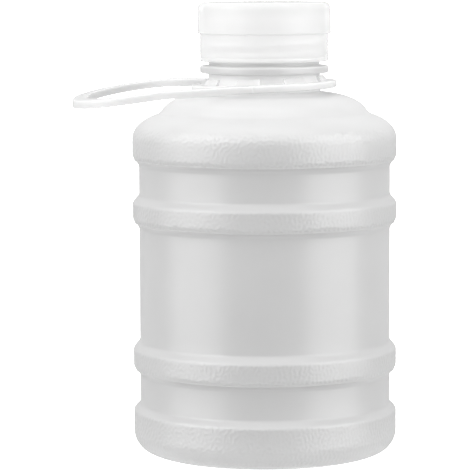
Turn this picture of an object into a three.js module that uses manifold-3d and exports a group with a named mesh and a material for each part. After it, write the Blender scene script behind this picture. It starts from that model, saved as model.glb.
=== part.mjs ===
// Small jug-style drinking bottle: a frosted body with four raised bands, a screw cap and a
// carry handle whose ring sits round the neck. Millimetres, +Z up, origin in the middle of the base.
import * as THREE from 'three';
import { mergeVertices } from 'three/addons/utils/BufferGeometryUtils.js';
import Module from 'manifold-3d';

// Body
const BAND_RADIUS = 50;
const WALL_RADIUS = 47.6;
const BASE_CORNER_RADIUS = 8.4;
const BASE_PAD_RADIUS = 11;
const BASE_RECESS_INNER = 14;
const BASE_RECESS_OUTER = 31;
const BASE_RING_RADIUS = 34;
const BASE_RECESS_DEPTH = 1.2;
const BASE_BAND = { fullTop: 15.9, wallTop: 19.35 };
const LOWER_BAND = { wallBottom: 29.3, fullBottom: 33.75, fullTop: 39.35, wallTop: 43.25 };
const MIDDLE_BAND = { wallBottom: 85.2, fullBottom: 89.8, fullTop: 95.0, wallTop: 98.9 };
const UPPER_BAND = { wallBottom: 108.7, fullBottom: 113.7, fullTop: 119.55 };
const CREASE_RADIUS = 39.35;
const CREASE_HEIGHT = 129;
const ROLL_END_ANGLE = 1.234;
const DOME_TOP_RADIUS = 25.5;
const DOME_TOP_HEIGHT = 136.6;
const DOME_END_ANGLE = 1.426;
const DOME_FULLNESS = 0.81;

// Neck
const NECK_RADIUS = 21.1;
const NECK_ROOT_RADIUS = 22.3;
const NECK_ROOT_BOTTOM = 136.95;
const NECK_ROOT_TOP = 137.9;
const SUPPORT_RING_RADIUS = 24.25;
const SUPPORT_RING_BOTTOM = 144.2;
const SUPPORT_RING_TOP = 147;
const SUPPORT_RING_EDGE = 0.7;
const FINISH_RADIUS = 20.9;
const FINISH_TOP = 168.6;
const THREAD_PITCH = 4;
const THREAD_TURNS = 2.25;
const THREAD_START_HEIGHT = 151.4;
const THREAD_CENTRE_RADIUS = 21.25;
const THREAD_SIZE = 0.95;

// Cap
const CAP_BOTTOM = 148.55;
const CAP_SKIRT_RADIUS = 24.25;
const CAP_SKIRT_BEVEL = 0.7;
const CAP_STEP_HEIGHT = 159.2;
const CAP_GRIP_RADIUS = 25.25;
const CAP_GRIP_TOP_RADIUS = 25.1;
const CAP_TOP = 170.9;
const CAP_CORNER_RADIUS = 2.6;
const CAP_BORE_RADIUS = 22.7;
const CAP_BORE_TOP = 169.1;

// Carry handle
const RING_OUTER_RADIUS = 27.45;
const RING_INNER_RADIUS = 23.4;
const RING_CENTRE_HEIGHT = 139.15;
const RING_HEIGHT = 2.8;
const RING_TILT_DEG = 2;
const RING_EDGE = 0.65;
const RING_LIP_WIDTH = 0.9;
const RING_HOLLOW = 1.5;
const TAB_COUNT = 8;
const TAB_WIDTH_DEG = 22;
const TAB_PHASE_DEG = -15;
const TAB_THICKNESS = 0.9;
const TAB_TIP_RADIUS = 21.7;
const TAB_TIP_RISE = 2;
const LOOP_HEIGHT = 3;
const LOOP_EDGE = 0.45;
const LOOP_STRAND_HALF_WIDTH = 2.1;
const LOOP_TIP_HALF_WIDTH = 2.75;
const LOOP_ROLL = 0.034;
const LOOP_ROOT_HEIGHT = 139.1;
const LOOP_LEAN = 0.019;
const LOOP_DROOP = 0.138;
const LOOP_DROOP_START = 34;
const LOOP_DROOP_EASE = 8;
// Half-width of the loop's middle line at points along it, from the ring to the tip.
const LOOP_PLAN = [
  [-4, 25.2], [-14, 25.4], [-24, 26.1], [-33, 28.6], [-41, 31.4], [-49, 32.5],
  [-56.5, 30.4], [-62.6, 25.2], [-67, 17.5], [-69.2, 9], [-69.7, 0],
];

const BODY_SEGMENTS = 60;
const CAP_SEGMENTS = 60;
const RING_SEGMENTS = 56;

const wasm = await Module();
wasm.setup();

function toSolid(geometry) {
  const bare = geometry.index ? geometry.toNonIndexed() : geometry.clone();
  bare.deleteAttribute('normal');
  bare.deleteAttribute('uv');
  const merged = mergeVertices(bare, 1e-4);
  const mesh = new wasm.Mesh({
    numProp: 3,
    vertProperties: new Float32Array(merged.attributes.position.array),
    triVerts: new Uint32Array(merged.index.array),
  });
  mesh.merge();
  return new wasm.Manifold(mesh);
}

function toGeometry(solid) {
  const mesh = solid.getMesh();
  const geometry = new THREE.BufferGeometry();
  geometry.setAttribute('position', new THREE.BufferAttribute(mesh.vertProperties, 3));
  geometry.setIndex(new THREE.BufferAttribute(mesh.triVerts, 1));
  const plain = geometry.toNonIndexed();
  plain.computeVertexNormals();
  return plain;
}

// Turns a profile of [radius, height] points about the Z axis.
function turned(points, segments) {
  const outline = points.map(([radius, height]) => new THREE.Vector2(radius, height));
  const geometry = new THREE.LatheGeometry(outline, segments);
  geometry.rotateX(Math.PI / 2);
  return geometry;
}

// A closed ring profile, listed once round, turned into a solid.
function turnedRing(points, segments) {
  return toSolid(turned([...points, points[0]], segments));
}

// Smooth step between two radii over a height range, without its first point.
function easedStep(fromRadius, toRadius, fromHeight, toHeight, steps) {
  const points = [];
  for (let i = 1; i <= steps; i += 1) {
    const t = i / steps;
    const eased = t * t * (3 - 2 * t);
    points.push([fromRadius + (toRadius - fromRadius) * eased, fromHeight + (toHeight - fromHeight) * t]);
  }
  return points;
}

function raisedBand(band) {
  return [
    [WALL_RADIUS, band.wallBottom],
    ...easedStep(WALL_RADIUS, BAND_RADIUS, band.wallBottom, band.fullBottom, 4),
    [BAND_RADIUS, band.fullTop],
    ...easedStep(BAND_RADIUS, WALL_RADIUS, band.fullTop, band.wallTop, 4),
  ];
}

// A quarter-turn curve between two [radius, height] points: upright at the first, flat at the
// second. fullness 1 is the whole curve and 0 a straight line. Without its first point.
function quarterTurn(from, to, endAngle, fullness, steps) {
  const points = [];
  for (let i = 1; i <= steps; i += 1) {
    const t = i / steps;
    const inward = (1 - Math.cos(endAngle * t)) / (1 - Math.cos(endAngle));
    const upward = Math.sin(endAngle * t) / Math.sin(endAngle);
    points.push([
      THREE.MathUtils.lerp(from[0], to[0], THREE.MathUtils.lerp(t, inward, fullness)),
      THREE.MathUtils.lerp(from[1], to[1], THREE.MathUtils.lerp(t, upward, fullness)),
    ]);
  }
  return points;
}

function bodyProfile() {
  const points = [
    [0, 0],
    [BASE_PAD_RADIUS, 0],
    [BASE_RECESS_INNER, BASE_RECESS_DEPTH],
    [BASE_RECESS_OUTER, BASE_RECESS_DEPTH],
    [BASE_RING_RADIUS, 0],
  ];
  const cornerSteps = 5;
  for (let i = 0; i <= cornerSteps; i += 1) {
    const angle = -Math.PI / 2 + (Math.PI / 2) * (i / cornerSteps);
    const centre = BAND_RADIUS - BASE_CORNER_RADIUS;
    points.push([
      centre + BASE_CORNER_RADIUS * Math.cos(angle),
      BASE_CORNER_RADIUS + BASE_CORNER_RADIUS * Math.sin(angle),
    ]);
  }
  points.push([BAND_RADIUS, BASE_BAND.fullTop]);
  points.push(...easedStep(BAND_RADIUS, WALL_RADIUS, BASE_BAND.fullTop, BASE_BAND.wallTop, 4));
  points.push(...raisedBand(LOWER_BAND));
  points.push(...raisedBand(MIDDLE_BAND));
  points.push([WALL_RADIUS, UPPER_BAND.wallBottom]);
  points.push(...easedStep(WALL_RADIUS, BAND_RADIUS, UPPER_BAND.wallBottom, UPPER_BAND.fullBottom, 4));
  const rollStart = [BAND_RADIUS, UPPER_BAND.fullTop];
  const crease = [CREASE_RADIUS, CREASE_HEIGHT];
  const domeTop = [DOME_TOP_RADIUS, DOME_TOP_HEIGHT];
  points.push(rollStart);
  points.push(...quarterTurn(rollStart, crease, ROLL_END_ANGLE, 1, 7));
  points.push(...quarterTurn(crease, domeTop, DOME_END_ANGLE, DOME_FULLNESS, 6));
  points.push(
    [NECK_ROOT_RADIUS, NECK_ROOT_BOTTOM],
    [NECK_RADIUS, NECK_ROOT_TOP],
    [NECK_RADIUS, SUPPORT_RING_BOTTOM],
    [SUPPORT_RING_RADIUS - SUPPORT_RING_EDGE, SUPPORT_RING_BOTTOM],
    [SUPPORT_RING_RADIUS, SUPPORT_RING_BOTTOM + SUPPORT_RING_EDGE],
    [SUPPORT_RING_RADIUS, SUPPORT_RING_TOP - SUPPORT_RING_EDGE],
    [SUPPORT_RING_RADIUS - SUPPORT_RING_EDGE, SUPPORT_RING_TOP],
    [FINISH_RADIUS, SUPPORT_RING_TOP],
    [FINISH_RADIUS, FINISH_TOP - SUPPORT_RING_EDGE],
    [FINISH_RADIUS - SUPPORT_RING_EDGE, FINISH_TOP],
    [0, FINISH_TOP],
  );
  return points;
}

// Middle line of the neck thread. Its ends sink into the neck.
class NeckHelix extends THREE.Curve {
  getPoint(t, target = new THREE.Vector3()) {
    const angle = -Math.PI / 2 + t * THREAD_TURNS * 2 * Math.PI;
    const height = THREAD_START_HEIGHT + t * THREAD_TURNS * THREAD_PITCH;
    const fade = THREE.MathUtils.smoothstep(Math.abs(t - 0.5), 0.44, 0.5);
    const radius = THREAD_CENTRE_RADIUS - 1.8 * fade;
    return target.set(radius * Math.cos(angle), radius * Math.sin(angle), height);
  }
}

// One right-hand thread round the neck.
function neckThread() {
  const section = new THREE.Shape();
  for (let i = 0; i < 6; i += 1) {
    const angle = (Math.PI / 3) * i;
    section[i === 0 ? 'moveTo' : 'lineTo'](THREAD_SIZE * Math.cos(angle), THREAD_SIZE * Math.sin(angle));
  }
  section.closePath();
  return toSolid(new THREE.ExtrudeGeometry(section, {
    steps: Math.round(THREAD_TURNS * 20),
    bevelEnabled: false,
    extrudePath: new NeckHelix(),
  }));
}

function bottleSolid() {
  return toSolid(turned(bodyProfile(), BODY_SEGMENTS)).add(neckThread());
}

// Cap: a cup with a plain skirt below and a wider grip above.
function capSolid() {
  const points = [
    [CAP_SKIRT_RADIUS - CAP_SKIRT_BEVEL, CAP_BOTTOM],
    [CAP_SKIRT_RADIUS, CAP_BOTTOM + CAP_SKIRT_BEVEL],
    [CAP_SKIRT_RADIUS, CAP_STEP_HEIGHT],
    [CAP_GRIP_RADIUS - 0.3, CAP_STEP_HEIGHT],
    [CAP_GRIP_RADIUS, CAP_STEP_HEIGHT + 0.3],
    [CAP_GRIP_TOP_RADIUS, CAP_TOP - CAP_CORNER_RADIUS],
  ];
  const cornerSteps = 4;
  for (let i = 1; i <= cornerSteps; i += 1) {
    const angle = (Math.PI / 2) * (i / cornerSteps);
    points.push([
      CAP_GRIP_TOP_RADIUS - CAP_CORNER_RADIUS * (1 - Math.cos(angle)),
      CAP_TOP - CAP_CORNER_RADIUS * (1 - Math.sin(angle)),
    ]);
  }
  points.push([0, CAP_TOP]);
  const outside = [[0, CAP_BOTTOM], ...points];
  const bore = [
    [0, CAP_BOTTOM - 1],
    [CAP_BORE_RADIUS, CAP_BOTTOM - 1],
    [CAP_BORE_RADIUS, CAP_BORE_TOP],
    [0, CAP_BORE_TOP],
  ];
  return toSolid(turned(outside, CAP_SEGMENTS)).subtract(toSolid(turned(bore, CAP_SEGMENTS)));
}

// Tabs that grip the neck: a leaning collar cut into short lengths.
function ringTabs() {
  const foot = RING_HEIGHT / 2;
  const collar = turnedRing([
    [RING_INNER_RADIUS - 0.1, foot - 1.4],
    [RING_INNER_RADIUS + TAB_THICKNESS, foot - 0.4],
    [TAB_TIP_RADIUS + TAB_THICKNESS, foot + TAB_TIP_RISE],
    [TAB_TIP_RADIUS, foot + TAB_TIP_RISE],
    [TAB_TIP_RADIUS + 0.25, foot + 0.9],
  ], RING_SEGMENTS);
  const half = THREE.MathUtils.degToRad(TAB_WIDTH_DEG / 2);
  const reach = 40;
  const sectors = [];
  for (let i = 0; i < TAB_COUNT; i += 1) {
    const middle = THREE.MathUtils.degToRad(-90 + TAB_PHASE_DEG + (360 / TAB_COUNT) * i);
    const sector = new THREE.Shape();
    sector.moveTo(0, 0);
    sector.lineTo(reach * Math.cos(middle - half), reach * Math.sin(middle - half));
    sector.lineTo(reach * Math.cos(middle + half), reach * Math.sin(middle + half));
    sector.closePath();
    const wedge = new THREE.ExtrudeGeometry(sector, { depth: 12, bevelEnabled: false });
    wedge.translate(0, 0, -4);
    sectors.push(toSolid(wedge));
  }
  return sectors.map((sector) => collar.intersect(sector)).reduce((sum, tab) => sum.add(tab));
}

function neckRing() {
  const half = RING_HEIGHT / 2;
  const ring = turnedRing([
    [RING_INNER_RADIUS, half],
    [RING_INNER_RADIUS, -half + RING_HOLLOW],
    [RING_OUTER_RADIUS - RING_LIP_WIDTH, -half],
    [RING_OUTER_RADIUS - 0.3 * RING_EDGE, -half + 0.3 * RING_EDGE],
    [RING_OUTER_RADIUS, -half + RING_EDGE],
    [RING_OUTER_RADIUS, half - RING_EDGE],
    [RING_OUTER_RADIUS - RING_EDGE, half],
  ], RING_SEGMENTS);
  return ring.add(ringTabs()).rotate([0, -RING_TILT_DEG, 0]).translate([0, 0, RING_CENTRE_HEIGHT]);
}

// Height of the loop's middle plane: nearly level by the neck, then drooping towards the tip.
function heightAlong(x) {
  const past = Math.max(0, -x - LOOP_DROOP_START);
  return LOOP_ROOT_HEIGHT + LOOP_LEAN * x - (LOOP_DROOP * past * past) / (past + LOOP_DROOP_EASE);
}

// The loop: a flat band with rounded edges, then bent down and rolled towards the front.
function handleLoop() {
  const middle = new THREE.SplineCurve([
    ...LOOP_PLAN.map(([x, y]) => new THREE.Vector2(x, y)),
    ...LOOP_PLAN.slice(0, -1).reverse().map(([x, y]) => new THREE.Vector2(x, -y)),
  ]);
  const stations = 48;
  const outer = [];
  const inner = [];
  for (let i = 0; i <= stations; i += 1) {
    const t = i / stations;
    const point = middle.getPointAt(t);
    const along = middle.getTangentAt(t);
    const tipward = Math.max(0, Math.sin(Math.PI * t)) ** 6;
    const flare = (LOOP_TIP_HALF_WIDTH - LOOP_STRAND_HALF_WIDTH) * tipward;
    const half = LOOP_STRAND_HALF_WIDTH + flare - LOOP_EDGE;
    outer.push(new THREE.Vector2(point.x + along.y * half, point.y - along.x * half));
    inner.push(new THREE.Vector2(point.x - along.y * half, point.y + along.x * half));
  }
  const outline = new THREE.Shape([...outer, ...inner.reverse()]);
  const geometry = new THREE.ExtrudeGeometry(outline, {
    depth: LOOP_HEIGHT - 2 * LOOP_EDGE,
    bevelEnabled: true,
    bevelSize: LOOP_EDGE,
    bevelThickness: LOOP_EDGE,
    bevelSegments: 2,
  });
  geometry.translate(0, 0, -LOOP_HEIGHT / 2 + LOOP_EDGE);
  const position = geometry.attributes.position;
  for (let i = 0; i < position.count; i += 1) {
    const x = position.getX(i);
    const y = position.getY(i);
    const rolled = THREE.MathUtils.smoothstep(-x, 2, 28) * LOOP_ROLL * y;
    position.setZ(i, position.getZ(i) + heightAlong(x) + rolled);
  }
  return toSolid(geometry);
}

function handleSolid() {
  return neckRing().add(handleLoop());
}

function part(name, solid, colour, roughness) {
  const material = new THREE.MeshStandardMaterial({ color: colour, roughness, metalness: 0 });
  const mesh = new THREE.Mesh(toGeometry(solid), material);
  mesh.name = name;
  return mesh;
}

const group = new THREE.Group();
group.name = 'jug_bottle';
group.add(part('bottle', bottleSolid(), 0xd6d6d6, 0.55));
group.add(part('cap', capSolid(), 0xf1f1f1, 0.35));
group.add(part('carry_handle', handleSolid(), 0xf3f3f3, 0.4));

export default group;
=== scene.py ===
# Looks of the small jug-style bottle: frosted banded body, translucent screw cap and white carry handle.
import math

import bmesh
import bpy
import numpy as np
from mathutils import Matrix, Quaternion, Vector


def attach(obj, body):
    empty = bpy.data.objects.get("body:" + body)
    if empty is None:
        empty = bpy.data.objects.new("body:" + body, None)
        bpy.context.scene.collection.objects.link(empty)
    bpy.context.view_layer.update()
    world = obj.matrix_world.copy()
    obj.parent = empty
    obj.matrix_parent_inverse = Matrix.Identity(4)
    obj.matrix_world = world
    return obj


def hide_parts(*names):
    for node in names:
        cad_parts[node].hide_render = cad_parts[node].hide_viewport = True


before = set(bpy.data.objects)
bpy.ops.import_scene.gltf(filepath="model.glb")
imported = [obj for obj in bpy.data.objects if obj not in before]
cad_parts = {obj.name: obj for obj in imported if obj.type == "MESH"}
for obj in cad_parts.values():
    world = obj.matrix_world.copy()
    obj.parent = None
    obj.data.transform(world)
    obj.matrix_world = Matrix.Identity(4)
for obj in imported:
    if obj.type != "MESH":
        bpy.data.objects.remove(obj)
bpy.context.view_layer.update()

MM = 0.001

# Distances between points, in metres: merged, counted as level, or dissolved as slivers
MERGE_DISTANCE = 1e-7
LEVEL_DISTANCE = 1e-8
SLIVER_DISTANCE = 0.01 * MM

# Body, in millimetres, as in the frame
BAND_RADIUS = 50.0
WALL_RADIUS = 47.6
BASE_CORNER_RADIUS = 8.4
BASE_FLAT_RADIUS = BAND_RADIUS - BASE_CORNER_RADIUS
BASE_PAD_RADIUS = 11.0
BASE_RECESS_INNER = 14.0
BASE_RECESS_OUTER = 31.0
BASE_RING_RADIUS = 34.0
BASE_RECESS_DEPTH = 1.2
BASE_BAND = dict(full_top=15.9, wall_top=19.35)
LOWER_BAND = dict(wall_bottom=29.3, full_bottom=33.75, full_top=39.35, wall_top=43.25)
MIDDLE_BAND = dict(wall_bottom=85.2, full_bottom=89.8, full_top=95.0, wall_top=98.9)
UPPER_BAND = dict(wall_bottom=108.7, full_bottom=113.7, full_top=119.55)
CREASE_RADIUS = 39.35
CREASE_HEIGHT = 129.0
ROLL_END_ANGLE = 1.234
DOME_TOP_RADIUS = 25.5
DOME_TOP_HEIGHT = 136.6
DOME_END_ANGLE = 1.426
DOME_FULLNESS = 0.81
STEP_ROWS = 8
BEAD_ROWS = 18
BEAD_SHARE = 0.55
BEAD_PROUD = 0.36
BEAD_HALF_WIDTH = 0.34
CREASE_SOFT_REACH = 3.0
CREASE_SOFT_ROUNDS = 3
BODY_COLUMNS = 168
LARGE_ARC_STEPS = 14
EDGE_ARC_STEPS = 4

# Neck
NECK_RADIUS = 21.1
NECK_ROOT_RADIUS = 22.3
NECK_ROOT_BOTTOM = 136.95
NECK_ROOT_TOP = 137.9
NECK_ROOT_BEND = (0.3, 0.4)
SUPPORT_RING_RADIUS = 24.25
SUPPORT_RING_BOTTOM = 144.2
SUPPORT_RING_TOP = 147.0
SUPPORT_RING_EDGE = 0.7
SUPPORT_RING_FILLET = 0.5
SUPPORT_RING_FILLET_BEND = 0.15
FINISH_RADIUS = 20.9
FINISH_TOP = 168.6
MOUTH_ARC_STEPS = 3
THREAD_PITCH = 4.0
THREAD_TURNS = 2.25
THREAD_START_HEIGHT = 149.6
THREAD_CENTRE_RADIUS = 21.25
THREAD_SIZE = 0.95
THREAD_ROWS = 160
THREAD_SIDES = 12
THREAD_START_ANGLE = math.pi / 2
THREAD_SINK = 1.8
THREAD_RUN_OUT = 0.06

# Cap
CAP_BOTTOM = 148.55
CAP_SKIRT_RADIUS = 24.25
CAP_GROOVE_HEIGHT = 150.3
CAP_GROOVE_DEPTH = 0.15
CAP_STEP_HEIGHT = 159.2
CAP_GRIP_RADIUS = 25.25
CAP_GRIP_TOP_RADIUS = 25.1
CAP_TOP = 170.9
CAP_CORNER_RADIUS = 2.6
CAP_BORE_RADIUS = 22.7
CAP_BORE_TOP = 169.1
CAP_BORE_FILLET = 0.8
CAP_BORE_CHAMFER = 0.3
CAP_DISC_ROW = 12.0
CAP_CORNER_STEPS = 10
# Short stretches of the cap's outline, as (outward, upward) offsets; the groove's are in its depths
CAP_SKIRT_BEVEL = [(-0.7, 0), (-0.25, 0.2), (0, 0.7)]
CAP_GROOVE_SHAPE = [(0, -2), (-0.8, -0.7), (-1, 0), (-0.8, 0.7), (0, 2)]
CAP_STEP_FILLET = [(0, -0.6), (0.1, -0.3)]
CAP_STEP_EDGE = [(-0.3, 0), (-0.08, 0.12), (0, 0.4)]

# Carry handle
RING_OUTER_RADIUS = 27.45
RING_INNER_RADIUS = 23.4
RING_CENTRE_HEIGHT = 139.15
RING_HEIGHT = 2.8
RING_TILT_DEG = 2.0
RING_EDGE = 0.65
RING_EDGE_BEND = 0.3
RING_LIP_WIDTH = 0.9
RING_HOLLOW = 1.5
TAB_COUNT = 8
TAB_WIDTH_DEG = 22.0
TAB_PHASE_DEG = -15.0
TAB_THICKNESS = 0.9
TAB_TIP_RADIUS = 21.7
TAB_TIP_RISE = 2.0
TAB_FOOT_INSET = 0.1
TAB_FOOT_DEPTH = 1.4
TAB_FOOT_OVERLAP = 0.4
TAB_BEND = (0.25, 0.9)
TAB_STEPS = 10
LOOP_HEIGHT = 3.0
LOOP_EDGE = 0.45
LOOP_EDGE_SEGMENTS = 3
LOOP_STRAND_HALF_WIDTH = 2.1
LOOP_TIP_HALF_WIDTH = 2.75
LOOP_ROLL = 0.034
LOOP_ROLL_START = 2.0
LOOP_ROLL_REACH = 26.0
LOOP_ROOT_HEIGHT = 139.1
LOOP_LEAN = 0.019
LOOP_DROOP = 0.138
LOOP_DROOP_START = 34.0
LOOP_DROOP_EASE = 8.0
# One side of the loop's middle line from above, as (x, y), from the ring to the tip
LOOP_PLAN = [
    (-4, 25.2), (-14, 25.4), (-24, 26.1), (-33, 28.6), (-41, 31.4), (-49, 32.5),
    (-56.5, 30.4), (-62.6, 25.2), (-67, 17.5), (-69.2, 9), (-69.7, 0),
]
LOOP_STATIONS = 160
LOOP_ROOT_REACH = 18.0
LOOP_ROOT_THINNING = 0.25
LOOP_FLARE_START = -50.0
LOOP_FLARE_LENGTH = 14.0
LOOP_CORNER_DEG = 60.0
SHARP_DEG = 50.0

# Grain of the bands: worm-like ridges like an etched mould's, in ranges of height
GRAIN_ZONES = [(1.0, 16.8), (32.2, 40.0), (87.8, 95.4), (111.2, 124.2)]
GRAIN_WAVELENGTH = 1.5
GRAIN_DEPTH = 0.18
GRAIN_FADE = 0.4
GRAIN_SPREAD = 0.25
GRAIN_CONTRAST = 1.4
GRAIN_WAVES = 44
GRAIN_SEED = 7
GRAIN_ROW = 0.58
GRAIN_CUTS = 3
PLAIN_ROW = 4.0

# Plastics: how they bend light, and how far the cloudiness in them changes tone and gloss
BODY_IOR = 1.58
MOULDED_IOR = 1.5
CLOUD_MM = 18.0
CLOUD_TONE = 0.025
CLOUD_GLOSS = 0.03

# Studio, in metres: a softbox at each side, one overhead, the white floor's bounce, and a room
# that is brighter above and behind. The room reaches the ceiling's or the backdrop's radiance
# where the direction's upward or backward part, at most 1, is as large as its FULL_AT value.
FLOOR_HALF_SIZE = 30.0
FLOOR_GLOW = 1.0
FLOOR_ROUGHNESS = 0.9
ROOM_RADIANCE = 0.5
CEILING_RADIANCE = 0.82
CEILING_FULL_AT = 0.5
BACKDROP_RADIANCE = 0.66
BACKDROP_FULL_AT = 0.8
AIM_PLACE = (0, 0, 0.09)
SIDE_ANGLE_DEG = 65.0
SIDE_DISTANCE = 1.2
SIDE_HEIGHT = 0.4
SIDE_SIZE = (1.35, 1.6)
LEFT_RADIANCE = 1.5
RIGHT_RADIANCE = 1.65
TOP_PLACE = (-0.25, -0.45, 1.2)
TOP_SIZE = (1.8, 1.8)
TOP_RADIANCE = 0.68
BOUNCE_PLACE = (0, 0, -0.6)
BOUNCE_SIZE = (2.0, 2.0)
BOUNCE_RADIANCE = 0.6

# Camera, worked out from outlines in the photograph, which is 470 pixels square: distance, height
# and sensor are in millimetres, clipping is in metres
PHOTO_SIZE = 470
FOCAL_PIXELS = 2655.0
AXIS_COLUMN = 264.7
CAMERA_DISTANCE = 1005.0
CAMERA_HEIGHT = 186.0
CAMERA_PITCH_DEG = 5.88
CAMERA_ROLL_DEG = -0.2
SENSOR_WIDTH = 36.0
CLIP_NEAR = 0.05
CLIP_FAR = 50.0


def linear(hex_colour):
    """An sRGB hex colour as linear RGBA."""
    channels = [int(hex_colour[i:i + 2], 16) / 255 for i in (1, 3, 5)]
    channels = [c / 12.92 if c <= 0.04045 else ((c + 0.055) / 1.055) ** 2.4 for c in channels]
    return (*channels, 1.0)


def add_node(tree, kind, settings=None, links=None):
    """Adds a node, sets its properties and sockets, and links other sockets into it."""
    node = tree.nodes.new(kind)
    for name, value in (settings or {}).items():
        if hasattr(node, str(name)):
            setattr(node, name, value)
        else:
            node.inputs[name].default_value = value
    for name, source in (links or {}).items():
        tree.links.new(source, node.inputs[name])
    return node


def make_object(name, bm):
    mesh = bpy.data.meshes.new(name)
    bm.to_mesh(mesh)
    bm.free()
    mesh.polygons.foreach_set("use_smooth", [True] * len(mesh.polygons))
    piece = bpy.data.objects.new(name, mesh)
    bpy.context.scene.collection.objects.link(piece)
    return piece


def upright(bm, points, angle=0.0):
    """Vertices at (radius, height) points, in millimetres, in the upright plane at an angle."""
    return [
        bm.verts.new((r * math.cos(angle) * MM, r * math.sin(angle) * MM, z * MM))
        for r, z in points
    ]


def spun(points, steps, closed=False):
    """A profile of (radius, height) points, in millimetres, turned all the way round the Z axis."""
    bm = bmesh.new()
    verts = upright(bm, points)
    edges = [bm.edges.new(pair) for pair in zip(verts, verts[1:])]
    if closed:
        edges.append(bm.edges.new((verts[-1], verts[0])))
    bmesh.ops.spin(
        bm, geom=verts + edges, cent=(0, 0, 0), axis=(0, 0, 1),
        angle=2 * math.pi, steps=steps, use_merge=True, use_duplicate=False,
    )
    bmesh.ops.remove_doubles(bm, verts=bm.verts, dist=MERGE_DISTANCE)
    bmesh.ops.recalc_face_normals(bm, faces=bm.faces)
    return bm


def between(start, end, share):
    return tuple(a + (b - a) * share for a, b in zip(start, end))


def smooth_share(t):
    """A share from 0 to 1 that starts and ends level."""
    t = min(1.0, max(0.0, t))
    return t * t * (3 - 2 * t)


def eased_step(from_radius, to_radius, from_height, to_height):
    """A smooth step between two radii, without its first point."""
    return [
        (from_radius + (to_radius - from_radius) * smooth_share(i / STEP_ROWS),
         from_height + (to_height - from_height) * i / STEP_ROWS)
        for i in range(1, STEP_ROWS + 1)
    ]


def arc(centre, radius, start_deg, end_deg, steps):
    angles = [math.radians(start_deg + (end_deg - start_deg) * i / steps) for i in range(steps + 1)]
    return [(centre[0] + radius * math.cos(a), centre[1] + radius * math.sin(a)) for a in angles]


def quarter_turn(start, end, end_angle, fullness, steps):
    """A curve that is upright at its start and flat at its end, without its first point."""
    points = []
    for i in range(1, steps + 1):
        t = i / steps
        inward = (1 - math.cos(end_angle * t)) / (1 - math.cos(end_angle))
        upward = math.sin(end_angle * t) / math.sin(end_angle)
        radius = start[0] + (end[0] - start[0]) * (fullness * inward + (1 - fullness) * t)
        height = start[1] + (end[1] - start[1]) * (fullness * upward + (1 - fullness) * t)
        points.append((radius, height))
    return points


def beaded_step(bottom, top):
    """The lower edge of a band: a smooth step out, with the thin bead that runs round it."""
    points = []
    for i in range(1, BEAD_ROWS + 1):
        share = i / BEAD_ROWS
        height = bottom + (top - bottom) * share
        from_bead = (share - BEAD_SHARE) * (top - bottom) / BEAD_HALF_WIDTH
        radius = WALL_RADIUS + (BAND_RADIUS - WALL_RADIUS) * smooth_share(share)
        points.append((radius + BEAD_PROUD * math.exp(-from_bead * from_bead), height))
    return points


def raised_band(band):
    return [
        (WALL_RADIUS, band["wall_bottom"]),
        *beaded_step(band["wall_bottom"], band["full_bottom"]),
        (BAND_RADIUS, band["full_top"]),
        *eased_step(BAND_RADIUS, WALL_RADIUS, band["full_top"], band["wall_top"]),
    ]


def soften_crease(points):
    """Rounds the inward corner between shoulder and dome by averaging the points near it."""
    low, high = CREASE_HEIGHT - CREASE_SOFT_REACH, CREASE_HEIGHT + CREASE_SOFT_REACH
    for _ in range(CREASE_SOFT_ROUNDS):
        softer = [
            tuple((a + 2 * b + c) / 4 for a, b, c in zip(before, point, after))
            for before, point, after in zip(points, points[1:], points[2:])
        ]
        points = [points[0], *(
            new if low < old[1] < high else old for old, new in zip(points[1:], softer)
        ), points[-1]]
    return points


def base_outline():
    return [
        (0, 0), (BASE_PAD_RADIUS, 0), (BASE_RECESS_INNER, BASE_RECESS_DEPTH),
        (BASE_RECESS_OUTER, BASE_RECESS_DEPTH), (BASE_RING_RADIUS, 0),
    ]


def side_outline():
    """The body's side, from the base's corner to the top of the dome."""
    roll_start = (BAND_RADIUS, UPPER_BAND["full_top"])
    crease = (CREASE_RADIUS, CREASE_HEIGHT)
    dome_top = (DOME_TOP_RADIUS, DOME_TOP_HEIGHT)
    return soften_crease([
        *arc((BASE_FLAT_RADIUS, BASE_CORNER_RADIUS), BASE_CORNER_RADIUS, -90, 0, LARGE_ARC_STEPS),
        (BAND_RADIUS, BASE_BAND["full_top"]),
        *eased_step(BAND_RADIUS, WALL_RADIUS, BASE_BAND["full_top"], BASE_BAND["wall_top"]),
        *raised_band(LOWER_BAND),
        *raised_band(MIDDLE_BAND),
        (WALL_RADIUS, UPPER_BAND["wall_bottom"]),
        *beaded_step(UPPER_BAND["wall_bottom"], UPPER_BAND["full_bottom"]),
        roll_start,
        *quarter_turn(roll_start, crease, ROLL_END_ANGLE, 1, LARGE_ARC_STEPS),
        *quarter_turn(crease, dome_top, DOME_END_ANGLE, DOME_FULLNESS, LARGE_ARC_STEPS),
    ])


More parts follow.
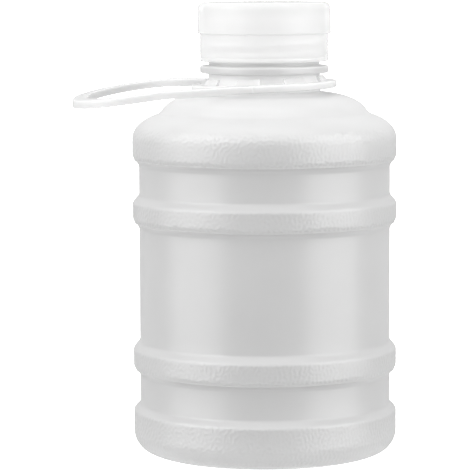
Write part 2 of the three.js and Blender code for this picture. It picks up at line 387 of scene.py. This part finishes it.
def neck_outline():
    """From the neck's root over the support ring to the middle of the shut mouth."""
    edge, fillet, bend = SUPPORT_RING_EDGE, SUPPORT_RING_FILLET, SUPPORT_RING_FILLET_BEND
    rim = SUPPORT_RING_RADIUS - edge
    return [
        (NECK_ROOT_RADIUS, NECK_ROOT_BOTTOM),
        (NECK_RADIUS + NECK_ROOT_BEND[0], NECK_ROOT_BOTTOM + NECK_ROOT_BEND[1]),
        (NECK_RADIUS, NECK_ROOT_TOP),
        (NECK_RADIUS, SUPPORT_RING_BOTTOM - fillet),
        (NECK_RADIUS + bend, SUPPORT_RING_BOTTOM - bend),
        (NECK_RADIUS + fillet, SUPPORT_RING_BOTTOM),
        *arc((rim, SUPPORT_RING_BOTTOM + edge), edge, -90, 0, EDGE_ARC_STEPS),
        *arc((rim, SUPPORT_RING_TOP - edge), edge, 0, 90, EDGE_ARC_STEPS),
        (FINISH_RADIUS + fillet, SUPPORT_RING_TOP),
        (FINISH_RADIUS + bend, SUPPORT_RING_TOP + bend),
        (FINISH_RADIUS, SUPPORT_RING_TOP + fillet),
        *arc((FINISH_RADIUS - edge, FINISH_TOP - edge), edge, 0, 90, MOUTH_ARC_STEPS),
        (0, FINISH_TOP),
    ]


def in_grain(height):
    return any(low <= height <= high for low, high in GRAIN_ZONES)


def split_long(points):
    """Adds points to a profile: close rows where the grain is, wide ones on plain stretches."""
    out = [points[0]]
    for start, end in zip(points, points[1:]):
        length = math.dist(start, end)
        middle = between(start, end, 0.5)
        row = GRAIN_ROW if in_grain(middle[1]) else PLAIN_ROW
        pieces = max(1, round(length / row))
        out += [between(start, end, i / pieces) for i in range(1, pieces + 1)]
    return out


def cut_grain_columns(bm):
    """Cuts the rings of edges across the grained rows, so that the grain has fine columns."""
    rings = set()
    for face in bm.faces:
        middle = face.calc_center_median()
        if in_grain(middle.z / MM) and middle.xy.length > BASE_FLAT_RADIUS * MM:
            for edge in face.edges:
                if abs(edge.verts[0].co.z - edge.verts[1].co.z) < LEVEL_DISTANCE:
                    rings.add(edge)
    bmesh.ops.subdivide_edges(bm, edges=list(rings), cuts=GRAIN_CUTS, use_grid_fill=True)


def grain_fade(heights):
    """How strongly the grain shows at each height: full inside a zone, smooth at its edges."""
    fade = np.zeros_like(heights)
    for low, high in GRAIN_ZONES:
        inside = np.minimum(heights - low, high - heights) / GRAIN_FADE
        fade = np.maximum(fade, np.clip(inside, 0, 1))
    return fade


def grain_relief(angles, along):
    """Worm-like relief from -1 to 1: waves of like length in every direction, closed round the body."""
    rng = np.random.default_rng(GRAIN_SEED)
    total = np.zeros_like(angles)
    wave_number = 2 * math.pi / GRAIN_WAVELENGTH
    for direction in (np.arange(GRAIN_WAVES) + rng.random(GRAIN_WAVES)) * math.pi / GRAIN_WAVES:
        stretch = wave_number * rng.uniform(1 - GRAIN_SPREAD, 1 + GRAIN_SPREAD)
        turns = round(stretch * math.cos(direction) * BAND_RADIUS)
        phase = rng.uniform(0, 2 * math.pi)
        total += np.cos(turns * angles + stretch * math.sin(direction) * along + phase)
    return np.tanh(GRAIN_CONTRAST * total / math.sqrt(GRAIN_WAVES / 2))


def raise_grain(mesh):
    """Rounds the cut columns back to the circle and moves the outer skin out and in by the grain."""
    count = len(mesh.vertices)
    places = np.empty(count * 3)
    normals = np.empty(count * 3)
    mesh.vertices.foreach_get("co", places)
    mesh.vertices.foreach_get("normal", normals)
    places = places.reshape(-1, 3)
    normals = normals.reshape(-1, 3)
    angles = np.arctan2(places[:, 1], places[:, 0])
    column = 2 * math.pi / BODY_COLUMNS
    off_middle = (angles / column % 1 - 0.5) * column
    places[:, :2] *= (np.cos(off_middle) / math.cos(column / 2))[:, None]
    radii = np.hypot(places[:, 0], places[:, 1]) / MM
    heights = places[:, 2] / MM
    on_side = radii > BASE_FLAT_RADIUS
    along = np.where(heights < BASE_CORNER_RADIUS, heights - (BAND_RADIUS - radii), heights)
    relief = GRAIN_DEPTH / 2 * grain_relief(angles, along) * grain_fade(heights) * on_side
    places += normals * (relief * MM)[:, None]
    mesh.vertices.foreach_set("co", places.ravel())
    mesh.update()


def make_shell():
    """Body and neck as one blown skin, shut at the mouth under the cap."""
    bm = spun(split_long(base_outline() + side_outline() + neck_outline()), BODY_COLUMNS)
    cut_grain_columns(bm)
    shell = make_object("bottle_shell", bm)
    raise_grain(shell.data)
    return shell


def swept(points, section):
    """A mesh tube with filled ends: a section swept along points, both in millimetres, by a curve."""
    outline = bpy.data.curves.new("section", "CURVE")
    outline.dimensions = "2D"
    line = outline.splines.new("POLY")
    line.points.add(len(section) - 1)
    for point, (x, y) in zip(line.points, section):
        point.co = (x * MM, y * MM, 0, 1)
    line.use_cyclic_u = True
    outline_object = bpy.data.objects.new("section", outline)
    bpy.context.scene.collection.objects.link(outline_object)
    path = bpy.data.curves.new("path", "CURVE")
    path.dimensions = "3D"
    path.twist_mode = "Z_UP"
    path.bevel_mode = "OBJECT"
    path.bevel_object = outline_object
    path.use_fill_caps = True
    spline = path.splines.new("POLY")
    spline.points.add(len(points) - 1)
    for point, place in zip(spline.points, points):
        point.co = (place[0] * MM, place[1] * MM, place[2] * MM, 1)
    path_object = bpy.data.objects.new("path", path)
    bpy.context.scene.collection.objects.link(path_object)
    depsgraph = bpy.context.evaluated_depsgraph_get()
    mesh = bpy.data.meshes.new_from_object(path_object.evaluated_get(depsgraph))
    bpy.data.objects.remove(path_object)
    bpy.data.objects.remove(outline_object)
    bm = bmesh.new()
    bm.from_mesh(mesh)
    bmesh.ops.remove_doubles(bm, verts=bm.verts, dist=MERGE_DISTANCE)
    bmesh.ops.recalc_face_normals(bm, faces=bm.faces)
    return bm


def make_thread():
    """One right-hand thread that starts at the back and whose ends sink into the neck."""
    points = []
    for i in range(THREAD_ROWS + 1):
        t = i / THREAD_ROWS
        into_end = abs(t - 0.5) - (0.5 - THREAD_RUN_OUT)
        angle = THREAD_START_ANGLE + t * THREAD_TURNS * 2 * math.pi
        radius = THREAD_CENTRE_RADIUS - THREAD_SINK * smooth_share(into_end / THREAD_RUN_OUT)
        height = THREAD_START_HEIGHT + t * THREAD_TURNS * THREAD_PITCH
        points.append((radius * math.cos(angle), radius * math.sin(angle), height))
    last_deg = 360 - 360 / THREAD_SIDES
    section = arc((0, 0), THREAD_SIZE, 0, last_deg, THREAD_SIDES - 1)
    return make_object("neck_thread", swept(points, section))


def placed(shape, radius, height, size=1.0):
    """A short stretch of outline, given as offsets, set at a radius and a height."""
    return [(radius + size * outward, height + size * upward) for outward, upward in shape]


def make_cap():
    """A cup with a plain skirt, a step and a wider smooth grip with a round top edge."""
    bore_corner = (CAP_BORE_RADIUS - CAP_BORE_FILLET, CAP_BORE_TOP - CAP_BORE_FILLET)
    grip_corner = (CAP_GRIP_TOP_RADIUS - CAP_CORNER_RADIUS, CAP_TOP - CAP_CORNER_RADIUS)
    profile = [
        (0, CAP_BORE_TOP),
        (CAP_DISC_ROW, CAP_BORE_TOP),
        *arc(bore_corner, CAP_BORE_FILLET, 90, 0, EDGE_ARC_STEPS),
        (CAP_BORE_RADIUS, CAP_BOTTOM + CAP_BORE_CHAMFER),
        (CAP_BORE_RADIUS + CAP_BORE_CHAMFER, CAP_BOTTOM),
        *placed(CAP_SKIRT_BEVEL, CAP_SKIRT_RADIUS, CAP_BOTTOM),
        *placed(CAP_GROOVE_SHAPE, CAP_SKIRT_RADIUS, CAP_GROOVE_HEIGHT, CAP_GROOVE_DEPTH),
        *placed(CAP_STEP_FILLET, CAP_SKIRT_RADIUS, CAP_STEP_HEIGHT),
        *placed(CAP_STEP_EDGE, CAP_GRIP_RADIUS, CAP_STEP_HEIGHT),
        *arc(grip_corner, CAP_CORNER_RADIUS, 0, 90, CAP_CORNER_STEPS),
        (CAP_DISC_ROW, CAP_TOP),
        (0, CAP_TOP),
    ]
    return make_object("screw_cap", spun(profile, BODY_COLUMNS))


def ring_mesh():
    """The handle's ring, level at the origin: a band with a hollow under its inner side."""
    half = RING_HEIGHT / 2
    bend = RING_EDGE_BEND * RING_EDGE
    profile = [
        (RING_INNER_RADIUS, half),
        (RING_INNER_RADIUS, -half + RING_HOLLOW),
        (RING_OUTER_RADIUS - RING_LIP_WIDTH, -half),
        (RING_OUTER_RADIUS - bend, -half + bend),
        (RING_OUTER_RADIUS, -half + RING_EDGE),
        (RING_OUTER_RADIUS, half - RING_EDGE),
        (RING_OUTER_RADIUS - bend, half - bend),
        (RING_OUTER_RADIUS - RING_EDGE, half),
    ]
    return spun(profile, BODY_COLUMNS, closed=True)


def tab_meshes():
    """Tabs that lean in from the ring and grip the neck."""
    bm = bmesh.new()
    ring_top = RING_HEIGHT / 2
    profile = [
        (RING_INNER_RADIUS - TAB_FOOT_INSET, ring_top - TAB_FOOT_DEPTH),
        (RING_INNER_RADIUS + TAB_THICKNESS, ring_top - TAB_FOOT_OVERLAP),
        (TAB_TIP_RADIUS + TAB_THICKNESS, ring_top + TAB_TIP_RISE),
        (TAB_TIP_RADIUS, ring_top + TAB_TIP_RISE),
        (TAB_TIP_RADIUS + TAB_BEND[0], ring_top + TAB_BEND[1]),
    ]
    for i in range(TAB_COUNT):
        start_deg = -90 + TAB_PHASE_DEG - TAB_WIDTH_DEG / 2 + 360 / TAB_COUNT * i
        verts = upright(bm, profile, math.radians(start_deg))
        face = bm.faces.new(verts)
        bmesh.ops.spin(
            bm, geom=[face, *face.edges, *verts], cent=(0, 0, 0), axis=(0, 0, 1),
            angle=math.radians(TAB_WIDTH_DEG), steps=TAB_STEPS,
            use_merge=False, use_duplicate=False,
        )
    bmesh.ops.recalc_face_normals(bm, faces=bm.faces)
    return bm


def spline_point(points, t):
    """A point on the even spline through the points, t from 0 to 1."""
    place = t * (len(points) - 1)
    i = min(int(place), len(points) - 2)
    w = place - i
    before, start, end, after = (
        np.array(points[max(0, min(len(points) - 1, i + k))], float) for k in (-1, 0, 1, 2)
    )
    leave, arrive = (end - before) / 2, (after - start) / 2
    cubic = 2 * start - 2 * end + leave + arrive
    square = -3 * start + 3 * end - 2 * leave - arrive
    return ((cubic * w + square) * w + leave) * w + start


def loop_height(x, y):
    """Height of the loop's middle plane: level by the neck, drooping to the tip, rolled to the front."""
    past = max(0.0, -x - LOOP_DROOP_START)
    droop = LOOP_DROOP * past * past / (past + LOOP_DROOP_EASE)
    roll = smooth_share((-x - LOOP_ROLL_START) / LOOP_ROLL_REACH) * LOOP_ROLL * y
    return LOOP_ROOT_HEIGHT + LOOP_LEAN * x - droop + roll


def strap_half_width(x):
    """The strap is a little wider round the tip than along its strands."""
    share = smooth_share((LOOP_FLARE_START - x) / LOOP_FLARE_LENGTH)
    return LOOP_STRAND_HALF_WIDTH + (LOOP_TIP_HALF_WIDTH - LOOP_STRAND_HALF_WIDTH) * share


def edge_chain(bm, places):
    verts = [bm.verts.new((x * MM, y * MM, 0)) for x, y in places]
    return [bm.edges.new(pair) for pair in zip(verts, verts[1:])]


def loop_strap():
    """A flat strap along the plan, as thick as the loop is high, its edges rounded."""
    plan = LOOP_PLAN + [(x, -y) for x, y in reversed(LOOP_PLAN[:-1])]
    middle = [spline_point(plan, i / LOOP_STATIONS) for i in range(LOOP_STATIONS + 1)]
    outer, inner = [], []
    for i, place in enumerate(middle):
        along = Vector(middle[min(i + 1, LOOP_STATIONS)] - middle[max(i - 1, 0)])
        across = Vector((along.y, -along.x)).normalized() * strap_half_width(place[0])
        outer.append(Vector(place) + across)
        inner.append(Vector(place) - across)
    bm = bmesh.new()
    edges = edge_chain(bm, outer) + edge_chain(bm, inner)
    flat = bmesh.ops.bridge_loops(bm, edges=edges)["faces"]
    lifted = bmesh.ops.extrude_face_region(bm, geom=flat)["geom"]
    top = [part for part in lifted if isinstance(part, bmesh.types.BMVert)]
    bmesh.ops.translate(bm, verts=top, vec=(0, 0, LOOP_HEIGHT * MM))
    bmesh.ops.recalc_face_normals(bm, faces=bm.faces)
    corner_angle = math.radians(LOOP_CORNER_DEG)
    corners = [e for e in bm.edges if e.is_manifold and e.calc_face_angle() > corner_angle]
    bmesh.ops.bevel(
        bm, geom=corners, offset=LOOP_EDGE * MM, segments=LOOP_EDGE_SEGMENTS, profile=0.5,
        affect="EDGES", material=-1,
    )
    for vert in bm.verts:
        x, y, z = vert.co / MM
        root = smooth_share((x + LOOP_ROOT_REACH) / LOOP_ROOT_REACH)
        from_middle = (z - LOOP_HEIGHT / 2) * (1 - LOOP_ROOT_THINNING * root)
        vert.co.z = (loop_height(x, y) + from_middle) * MM
    return bm


def joined(base, *others):
    """The mesh of one object with others fused to it, which are then removed."""
    for other in others:
        union = base.modifiers.new(other.name, "BOOLEAN")
        union.operation = "UNION"
        union.solver = "EXACT"
        union.object = other
    depsgraph = bpy.context.evaluated_depsgraph_get()
    bm = bmesh.new()
    bm.from_mesh(base.evaluated_get(depsgraph).to_mesh())
    for piece in (base, *others):
        bpy.data.objects.remove(piece)
    return bm


def make_handle():
    """Ring, tabs and loop as one moulding."""
    tilt = Matrix.Rotation(math.radians(-RING_TILT_DEG), 4, "Y")
    seat = Matrix.Translation((0, 0, RING_CENTRE_HEIGHT * MM)) @ tilt
    ring = ring_mesh()
    ring.transform(seat)
    tabs = tab_meshes()
    tabs.transform(seat)
    loop = loop_strap()
    bm = joined(make_object("ring", ring), make_object("tabs", tabs), make_object("loop", loop))
    bmesh.ops.dissolve_degenerate(bm, edges=bm.edges, dist=SLIVER_DISTANCE)
    handle = make_object("handle_moulding", bm)
    handle.data.set_sharp_from_angle(angle=math.radians(SHARP_DEG))
    return handle


# Finishes

def tone_by_height(tree, place, stops):
    """A colour for each height in millimetres, blended in between."""
    height = add_node(tree, "ShaderNodeSeparateXYZ", links={0: place}).outputs["Z"]
    share = add_node(tree, "ShaderNodeMapRange", {"From Max": CAP_TOP * MM}, {"Value": height})
    ramp = add_node(tree, "ShaderNodeValToRGB", links={"Fac": share.outputs["Result"]})
    elements = ramp.color_ramp.elements
    elements.remove(elements[1])
    for i, (stop, tone) in enumerate(stops):
        element = elements.new(stop / CAP_TOP) if i else elements[0]
        element.position = stop / CAP_TOP
        element.color = linear(tone)
    return ramp.outputs["Color"]


def plastic(name, tones, roughness, ior, specular, bleed_mm, texture_mm, texture_depth_mm, alpha=1.0):
    """A moulded milky plastic: faintly cloudy tone, uneven satin gloss and a fine mould texture."""
    material = bpy.data.materials.new(name)
    material.use_nodes = True
    tree = material.node_tree
    tree.nodes.clear()
    place = add_node(tree, "ShaderNodeTexCoord").outputs["Object"]
    cloud = add_node(
        tree, "ShaderNodeTexNoise", {"Scale": 1 / (CLOUD_MM * MM), "Detail": 2.0}, {"Vector": place},
    ).outputs["Fac"]
    shade = add_node(
        tree, "ShaderNodeMapRange", {"To Min": 1 - CLOUD_TONE, "To Max": 1 + CLOUD_TONE},
        {"Value": cloud},
    )
    tone = add_node(
        tree, "ShaderNodeHueSaturation",
        links={"Value": shade.outputs["Result"], "Color": tone_by_height(tree, place, tones)},
    )
    gloss = add_node(
        tree, "ShaderNodeMapRange",
        {"To Min": roughness - CLOUD_GLOSS, "To Max": roughness + CLOUD_GLOSS}, {"Value": cloud},
    )
    texture = add_node(
        tree, "ShaderNodeTexNoise", {"Scale": 1 / (texture_mm * MM), "Detail": 3.0}, {"Vector": place},
    )
    bump = add_node(
        tree, "ShaderNodeBump", {"Distance": texture_depth_mm * MM}, {"Height": texture.outputs["Fac"]},
    )
    shader = add_node(
        tree, "ShaderNodeBsdfPrincipled",
        {"IOR": ior, "Specular IOR Level": specular, "Alpha": alpha,
         "Subsurface Weight": 1.0, "Subsurface Radius": (1.0, 1.0, 1.0), "Subsurface Scale": bleed_mm * MM},
        {"Base Color": tone.outputs["Color"], "Roughness": gloss.outputs["Result"],
         "Normal": bump.outputs["Normal"]},
    )
    add_node(tree, "ShaderNodeOutputMaterial", links={"Surface": shader.outputs["BSDF"]})
    return material


def frosted_body():
    """Natural polyethylene, extrusion blown: grey and satin where the wall is thin, and greyer again from
    the support ring up. Painted light in the tone: lighter at the thick base for the light that glows
    through it, lighter on the shoulder for the light from above, and milk white where the neck rises
    against the shade under the support ring. The two short darker stretches, at 136.1 to 137.2 mm and
    147.2 to 148.3 mm, stand in for the soft shadow under the handle's ring and the dark gap under the
    cap, which cast no shadow."""
    # Stops in millimetres of height. Painted light: the lighter base and shoulder and the milk white neck
    # root; painted shadow: the darker stretches at 136.1 to 137.2 and 147.2 to 148.3 mm.
    tones = [
        (8, "#C3C3C3"), (17, "#BEBEBE"), (114, "#C0C0C0"), (127, "#CECECE"), (135.4, "#D2D2D2"),
        (136.1, "#C2C2C2"), (137.2, "#C2C2C2"), (138, "#DEDEDE"), (143.9, "#EEEEEE"),
        (144.6, "#C8C8C8"), (146.9, "#C8C8C8"), (147.2, "#B6B6B6"), (148.3, "#B6B6B6"),
        (149, "#C0C0C0"), (160, "#C8C8C8"), (164, "#DCDCDC"),
    ]
    return plastic(
        "blown_polyethylene_frosted", tones, roughness=0.34, ior=BODY_IOR, specular=1.0,
        bleed_mm=1.0, texture_mm=0.6, texture_depth_mm=0.012,
    )


def milky_neck():
    """The same blown polyethylene on the thread, painted white as painted light for the light that reaches
    it through the milky cap, with a soft gloss.
    """
    # Painted light: the white tone lifts the thread, which sits in the cap's shade.
    return plastic(
        "polyethylene_thread_painted_light", [(150, "#F4F4F4")], roughness=0.25, ior=MOULDED_IOR,
        specular=0.5, bleed_mm=1.0, texture_mm=0.8, texture_depth_mm=0.004,
    )


def clear_cap():
    """Natural polypropylene, injection moulded: bright and milky, with the thread faint behind it."""
    # Painted shade: the tone is darker on the top disc to hold back the light from above.
    return plastic(
        "moulded_polypropylene_natural", [(165, "#E0E0E0"), (169.5, "#D6D6D6")], roughness=0.2,
        ior=MOULDED_IOR, specular=0.4, bleed_mm=2.5, texture_mm=0.8, texture_depth_mm=0.004,
        alpha=0.66,
    )


def white_handle():
    """White polyethylene, injection moulded: clean, satin, with soft shadows that light bleeds into."""
    return plastic(
        "moulded_polyethylene_white", [(150, "#D6D6D6")], roughness=0.22, ior=MOULDED_IOR,
        specular=0.5, bleed_mm=2.5, texture_mm=0.7, texture_depth_mm=0.006,
    )


# Stage

def make_floor():
    """A white sweep that glows to the paper white of the backdrop and throws no grey on the bottle."""
    bm = bmesh.new()
    bmesh.ops.create_grid(bm, x_segments=1, y_segments=1, size=FLOOR_HALF_SIZE)
    floor = make_object("floor", bm)
    material = bpy.data.materials.new("white_sweep")
    material.use_nodes = True
    shader = material.node_tree.nodes["Principled BSDF"]
    shader.inputs["Base Color"].default_value = linear("#F7F7F7")
    shader.inputs["Roughness"].default_value = FLOOR_ROUGHNESS
    shader.inputs["Emission Color"].default_value = linear("#FFFFFF")
    shader.inputs["Emission Strength"].default_value = FLOOR_GLOW
    floor.data.materials.append(material)
    floor.visible_diffuse = False
    floor.visible_glossy = False
    floor.visible_shadow = False


def add_softbox(name, place, size, radiance):
    """A rectangular softbox that faces the bottle, as bright per area as radiance says."""
    light = bpy.data.lights.new(name, "AREA")
    light.shape = "RECTANGLE"
    light.size, light.size_y = size
    light.energy = radiance * math.pi * size[0] * size[1]
    softbox = bpy.data.objects.new(name, light)
    bpy.context.scene.collection.objects.link(softbox)
    softbox.location = place
    softbox.visible_camera = False
    aim = Vector(AIM_PLACE) - Vector(place)
    softbox.rotation_euler = aim.to_track_quat("-Z", "Y").to_euler()


def light_stage():
    """A pale room, brighter above and behind, with the softboxes and the floor's bounce."""
    world = bpy.data.worlds.new("studio")
    bpy.context.scene.world = world
    world.use_nodes = True
    tree = world.node_tree
    direction = add_node(tree, "ShaderNodeTexCoord").outputs["Generated"]
    axes = add_node(tree, "ShaderNodeSeparateXYZ", links={0: direction})
    upward = add_node(
        tree, "ShaderNodeMapRange",
        {"interpolation_type": "SMOOTHSTEP", "From Min": 0.0, "From Max": CEILING_FULL_AT,
         "To Min": ROOM_RADIANCE, "To Max": CEILING_RADIANCE},
        {"Value": axes.outputs["Z"]},
    )
    backward = add_node(
        tree, "ShaderNodeMapRange",
        {"interpolation_type": "SMOOTHSTEP", "From Min": 0.0, "From Max": BACKDROP_FULL_AT,
         "To Min": 0.0, "To Max": BACKDROP_RADIANCE - ROOM_RADIANCE},
        {"Value": axes.outputs["Y"]},
    )
    strength = add_node(
        tree, "ShaderNodeMath", {"operation": "ADD"},
        {0: upward.outputs["Result"], 1: backward.outputs["Result"]},
    )
    tree.links.new(strength.outputs["Value"], tree.nodes["Background"].inputs["Strength"])
    tree.nodes["Background"].inputs["Color"].default_value = linear("#FFFFFF")
    sides = (("left_softbox", -1, LEFT_RADIANCE), ("right_softbox", 1, RIGHT_RADIANCE))
    for name, side, radiance in sides:
        angle = side * math.radians(SIDE_ANGLE_DEG)
        place = (SIDE_DISTANCE * math.sin(angle), -SIDE_DISTANCE * math.cos(angle), SIDE_HEIGHT)
        add_softbox(name, place, SIDE_SIZE, radiance)
    add_softbox("top_softbox", TOP_PLACE, TOP_SIZE, TOP_RADIANCE)
    add_softbox("floor_bounce", BOUNCE_PLACE, BOUNCE_SIZE, BOUNCE_RADIANCE)
    bpy.context.scene.view_settings.view_transform = "Standard"


def place_camera():
    data = bpy.data.cameras.new("camera")
    data.sensor_width = SENSOR_WIDTH
    data.lens = FOCAL_PIXELS / PHOTO_SIZE * data.sensor_width
    data.clip_start = CLIP_NEAR
    data.clip_end = CLIP_FAR
    camera = bpy.data.objects.new("camera", data)
    bpy.context.scene.collection.objects.link(camera)
    camera.location = (0, -CAMERA_DISTANCE * MM, CAMERA_HEIGHT * MM)
    yaw = math.atan((AXIS_COLUMN - PHOTO_SIZE / 2) / FOCAL_PIXELS)
    turn = Quaternion((0, 0, 1), yaw) @ Quaternion((1, 0, 0), math.radians(90 - CAMERA_PITCH_DEG))
    camera.rotation_mode = "QUATERNION"
    camera.rotation_quaternion = turn @ Quaternion((0, 0, 1), math.radians(CAMERA_ROLL_DEG))
    bpy.context.scene.camera = camera


def dress(piece, material, body, node):
    piece.data.materials.clear()
    piece.data.materials.append(material)
    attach(piece, body)
    if node:
        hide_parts(node)


handle = make_handle()
cap = make_cap()
# The photo shows hardly any shadow from the milky cap and handle, so both are set to cast none.
# The darker stretches of frosted_body draw the little that does show.
for piece in (handle, cap):
    piece.visible_shadow = False
    piece.visible_diffuse = False
dress(make_shell(), frosted_body(), "bottle_body", "bottle")
dress(make_thread(), milky_neck(), "bottle_body", None)
dress(cap, clear_cap(), "bottle_body", "cap")
dress(handle, white_handle(), "handle_body", "carry_handle")

make_floor()
light_stage()
place_camera()
